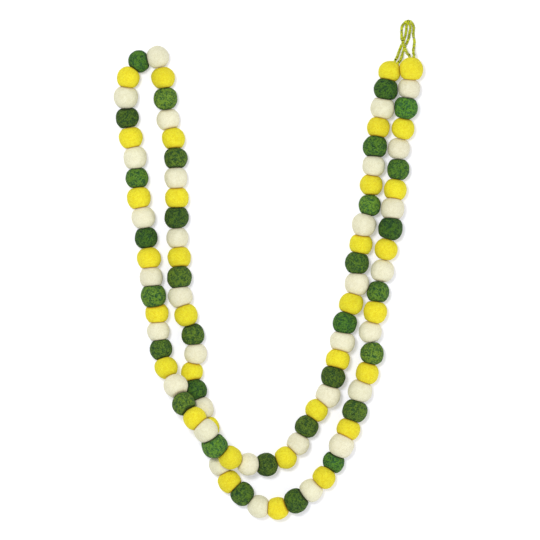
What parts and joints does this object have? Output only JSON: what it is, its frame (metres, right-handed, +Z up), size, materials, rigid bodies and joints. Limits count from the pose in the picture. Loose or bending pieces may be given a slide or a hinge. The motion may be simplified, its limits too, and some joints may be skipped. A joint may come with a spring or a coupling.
{
  "type": "felt ball garland",
  "caption": "Garland of solid felt balls in yellow, green and cream, threaded tight on a hidden string with a small bead loop at each end, lying folded in half.",
  "frame": {"origin": "on the surface that the garland lies on, under the middle of the outline of its balls in plan", "axes": "+Z up from the surface, +Y towards the two bead loops, +X to the right as seen from above with the loops at the top"},
  "size_m": [0.3363, 0.5435, 0.0518],
  "materials": {
    "felt_three_colours": "matte",
    "felt_yellow": "matte",
    "felt_green": "matte",
    "felt_cream": "matte",
    "seed_beads": "gloss"
  },
  "bodies": {
    "root": {"repeat_01": "felt_three_colours", "repeat_02": "felt_three_colours", "repeat_03": "felt_three_colours", "repeat_04": "felt_three_colours", "repeat_05": "felt_three_colours", "repeat_06": "felt_three_colours", "repeat_07": "felt_three_colours", "repeat_08": "felt_three_colours", "repeat_09": "felt_three_colours", "repeat_10": "felt_three_colours", "repeat_11": "felt_three_colours", "repeat_12": "felt_three_colours", "repeat_13": "felt_three_colours", "repeat_14": "felt_three_colours", "repeat_15": "felt_three_colours", "repeat_16": "felt_three_colours", "repeat_17": "felt_three_colours", "repeat_18": "felt_three_colours", "repeat_19": "felt_three_colours", "repeat_20": "felt_three_colours", "repeat_21": "felt_three_colours", "repeat_22": "felt_three_colours", "repeat_23": "felt_three_colours", "repeat_24": "felt_three_colours", "repeat_25": "felt_three_colours", "repeat_26": "felt_three_colours", "repeat_27": "felt_three_colours", "repeat_28": "felt_three_colours", "repeat_29": "felt_three_colours", "repeat_30": "felt_three_colours", "repeat_31": "felt_three_colours", "repeat_32": "felt_three_colours", "end_ball": "felt_yellow", "loop_start": "seed_beads", "loop_end": "seed_beads"}
  },
  "joints": []
}
